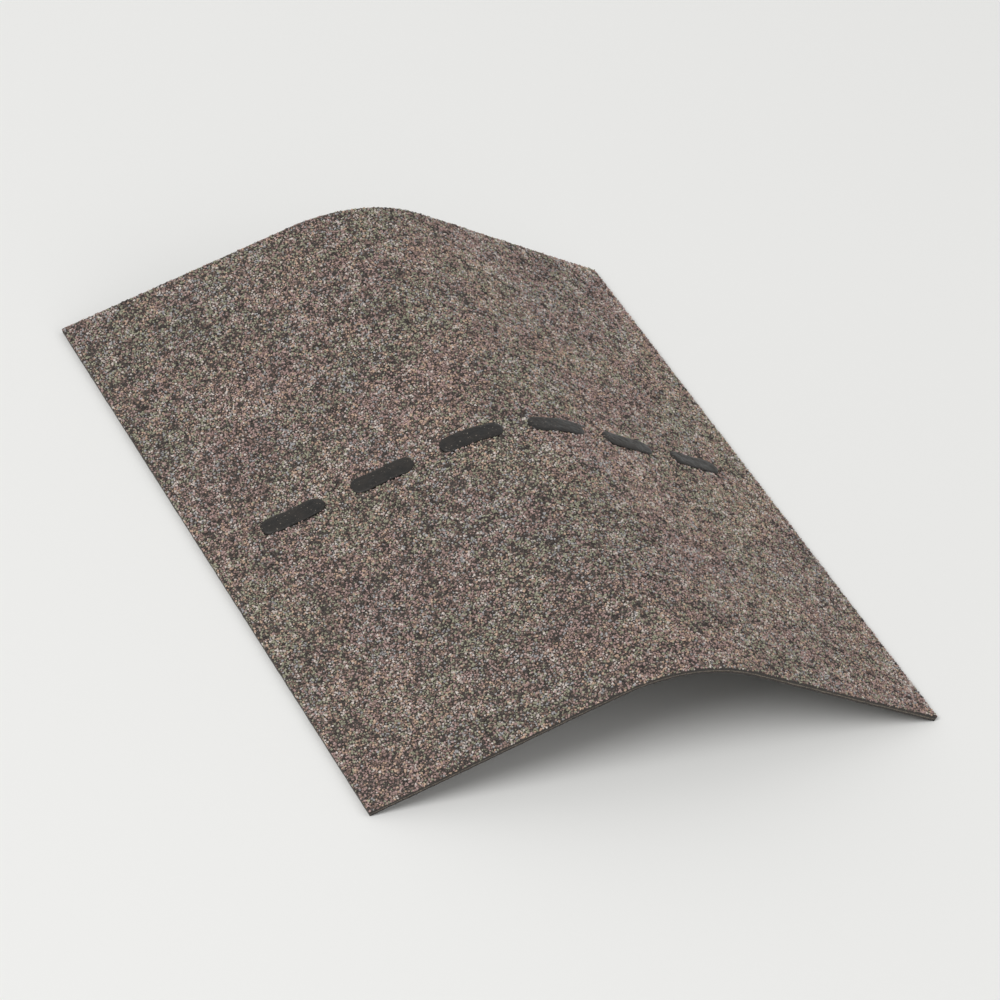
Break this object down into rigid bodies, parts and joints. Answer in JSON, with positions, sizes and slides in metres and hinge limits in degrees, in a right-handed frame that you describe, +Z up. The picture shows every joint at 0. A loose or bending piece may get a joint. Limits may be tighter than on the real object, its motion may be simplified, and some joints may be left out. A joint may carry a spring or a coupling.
{
  "type": "ridge cap shingle",
  "caption": "Rectangular asphalt shingle covered in mineral granules, bent to a rounded crown with straight wings to cover the hip or ridge of a roof.",
  "frame": {"origin": "on the floor under the middle of the cap", "axes": "+Y along the crown, from the butt edge that shows on a roof to the head that the next cap covers; +X across to the right wing; +Z up"},
  "size_m": [0.2856, 0.337, 0.0568],
  "materials": {
    "granulated_asphalt": "matte",
    "seal_asphalt": "satin"
  },
  "bodies": {
    "root": {"shingle_sheet": "granulated_asphalt", "seal_strip": "seal_asphalt"}
  },
  "joints": []
}
